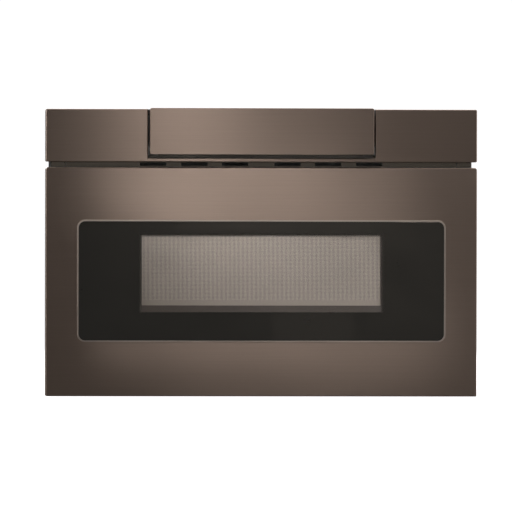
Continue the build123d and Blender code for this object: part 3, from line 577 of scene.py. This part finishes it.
def area(name, loc, target, size_x, size_y, power, color=(1, 1, 1), spread=180.0):
    ld = bpy.data.lights.new(name, "AREA")
    ld.shape = "RECTANGLE"
    ld.size, ld.size_y = size_x, size_y
    ld.energy = power
    ld.color = color
    ld.spread = math.radians(spread)
    lo_ = bpy.data.objects.new(name, ld)
    scene.collection.objects.link(lo_)
    lo_.location = loc
    lo_.rotation_euler = (Vector(target) - Vector(loc)).to_track_quat("-Z", "Y").to_euler()
    lo_.visible_camera = False
    return lo_


def receivers(name, *nodes):
    coll = bpy.data.collections.new(name)
    for n in nodes:
        coll.objects.link(n)
    return coll


FASCIA = receivers("lit_fascia", N["fascia_skin"], N["flap_skin"])
DRAWER = receivers("lit_drawer", N["drawer_skin"], N["glass_trim"])
GLASS = receivers("lit_glass", BORDER, WINDOW)
SCREEN = receivers("lit_screen", N["mesh_screen"], N["screen_retainer"])
STRIP = receivers("lit_strip", N["vent_grille"])
SLIT = receivers("lit_slit", N["fascia_core"], N["pod_housing"])
BRACKET = receivers("lit_bracket", N["pod_brackets"], N["pod_hinge_pins"])
DUCT = receivers("lit_duct", N["exhaust_duct"], N["front_flange"])
TRIM = receivers("lit_trim", N["glass_trim"])
TINT = {"lit_glass": (1.0, 0.86, 0.73), "lit_strip": (1.0, 0.90, 0.74), "lit_slit": (1.0, 0.90, 0.78)}

# Small softboxes in front shape the broad bands on the brushed metal and on the glass,
# one set for each group of surfaces: x, y, z, width, height, aimed x, aimed z, power, spread.
for group, rows in (
    (FASCIA, [
        (-0.16, -1.085, 0.48, 0.12, 0.10, -0.16, 0.48, 0.05202, 180),
        (-0.02, -1.085, 0.10, 0.12, 0.10, -0.02, 0.10, 0.2318, 180),
        (0.12, -1.085, 0.10, 0.12, 0.10, 0.12, 0.10, 0.2398, 180),
        (0.26, -1.085, 0.10, 0.12, 0.10, 0.26, 0.10, 0.01836, 180),
        (0.34, -1.035, 0.55, 0.14, 0.20, 0.34, 0.25, 0.04422, 180),
        (-0.08, -1.035, 0.55, 0.14, 0.20, -0.08, 0.25, 0.3965, 180),
    ]),
    (DRAWER, [
        (-0.16, -1.085, 0.10, 0.10, 0.05, -0.18, 0.075, 0.0003394, 8),
        (0.14, -1.085, 0.10, 0.10, 0.05, 0.12, 0.085, 0.001593, 18),
        (0.24, -1.085, 0.10, 0.10, 0.05, 0.22, 0.085, 0.001357, 18),
        (-0.06, -1.085, 0.10, 0.10, 0.05, -0.08, 0.075, 0.0003553, 8),
        (0.04, -1.085, 0.10, 0.10, 0.05, 0.02, 0.075, 0.0003253, 8),
        (0.06, -1.035, 0.55, 0.14, 0.20, 0.06, 0.25, 0.3473, 180),
        (0.50, -1.035, 1.10, 0.14, 0.20, 0.50, 0.25, 1.336, 180),
        (-0.16, -1.085, 0.34, 0.10, 0.06, -0.18, 0.30, 0.001315, 14),
        (-0.08, -1.085, 0.34, 0.10, 0.06, -0.10, 0.27, 0.005547, 26),
        (-0.02, -1.085, 0.48, 0.12, 0.10, -0.02, 0.48, 0.2517, 180),
        (0.10, -1.085, 0.34, 0.10, 0.06, 0.08, 0.27, 0.003036, 26),
        (0.20, -1.085, 0.34, 0.10, 0.06, 0.18, 0.27, 0.002947, 26),
        (-0.36, -1.035, 0.55, 0.14, 0.20, -0.36, 0.25, 0.06195, 180),
    ]),
    (GLASS, [
        (0.34, -1.035, 1.10, 0.14, 0.20, 0.34, 0.25, 1.82, 180),
        (-0.02, -1.085, 0.28, 0.12, 0.10, -0.02, 0.28, 0.012, 180),
        (0.12, -1.085, 0.10, 0.12, 0.10, 0.12, 0.10, 0.009, 180),
        (0.12, -1.085, 0.48, 0.12, 0.10, 0.12, 0.48, 1.05, 180),
        (0.26, -1.085, 0.10, 0.12, 0.10, 0.26, 0.10, 0.003, 180),
    ]),
    (SCREEN, [
        (0.12, -1.085, 0.28, 0.12, 0.10, 0.12, 0.28, 0.634, 180),
        (0.40, -1.085, 0.10, 0.12, 0.10, 0.40, 0.10, 2.229, 180),
        (-0.16, -1.085, 0.34, 0.10, 0.06, -0.18, 0.30, 0.01882, 14),
        (0.00, -1.085, 0.34, 0.10, 0.06, -0.02, 0.27, 0.04654, 26),
    ]),
    (STRIP, [
        (0.0, -3.20, 0.40, 1.20, 0.80, 0.0, 0.20, 15.0, 180),
    ]),
    (SLIT, [
        (0.0, -3.20, 0.40, 1.20, 0.80, 0.0, 0.20, 30.0, 180),
    ]),
    (BRACKET, [
        (0.0, -3.20, 0.40, 1.20, 0.80, 0.0, 0.20, 1.0, 180),
    ]),
    (DUCT, [
        (0.0, -3.20, 0.40, 1.20, 0.80, 0.0, 0.20, 1.2, 180),
    ]),
    (TRIM, [
        (-1.60, -1.60, 0.12, 0.30, 0.60, -0.20, 0.16, 4.0, 180),
    ]),
):
    for i, (x, y, z, w, h, tx, tz, p, spread) in enumerate(rows):
        box = area("%s_%d" % (group.name, i), (x, y, z), (tx, -0.285, tz), w, h, p, TINT.get(group.name, (1, 1, 1)), spread)
        box.light_linking.receiver_collection = group
# from the left, for the folded right wall of the notch
box = area("lit_fascia_side", (-2.2, -1.5, 0.6), (0.16, -0.28, 0.37), 0.5, 0.5, 6.0)
box.light_linking.receiver_collection = FASCIA

# wide softboxes round the rest of the object
area("top_soft", (0.0, 0.5, 3.0), (0.0, 0.2, 0.0), 3.0, 3.0, 72.0)
# the front pair leaves out the sheets that look up, where it would burn out in a low view from behind
UPWARD = ("top_cover", "control_glass", "front_flange")
FRONT = receivers("lit_front", BORDER, WINDOW, *[ob for n, ob in N.items() if n not in UPWARD and n != "drawer_glass"])
for name, x in (("front_left", -2.6), ("front_right", 2.6)):
    box = area(name, (x, -2.2, 1.3), (0.0, 0.0, 0.2), 1.6, 1.8, 30.0)
    box.light_linking.receiver_collection = FRONT
SIDES = receivers("lit_sides", BORDER, WINDOW, *[ob for n, ob in N.items() if n not in ("top_cover", "control_glass", "drawer_glass")])
for name, x in (("side_left", -3.2), ("side_right", 3.2)):
    box = area(name, (x, 0.7, 1.2), (0.0, 0.1, 0.2), 1.8, 2.0, 36.0)
    box.light_linking.receiver_collection = SIDES
area("back_soft", (-0.5, 3.4, 1.6), (0.0, 0.2, 0.2), 2.8, 1.8, 60.0)
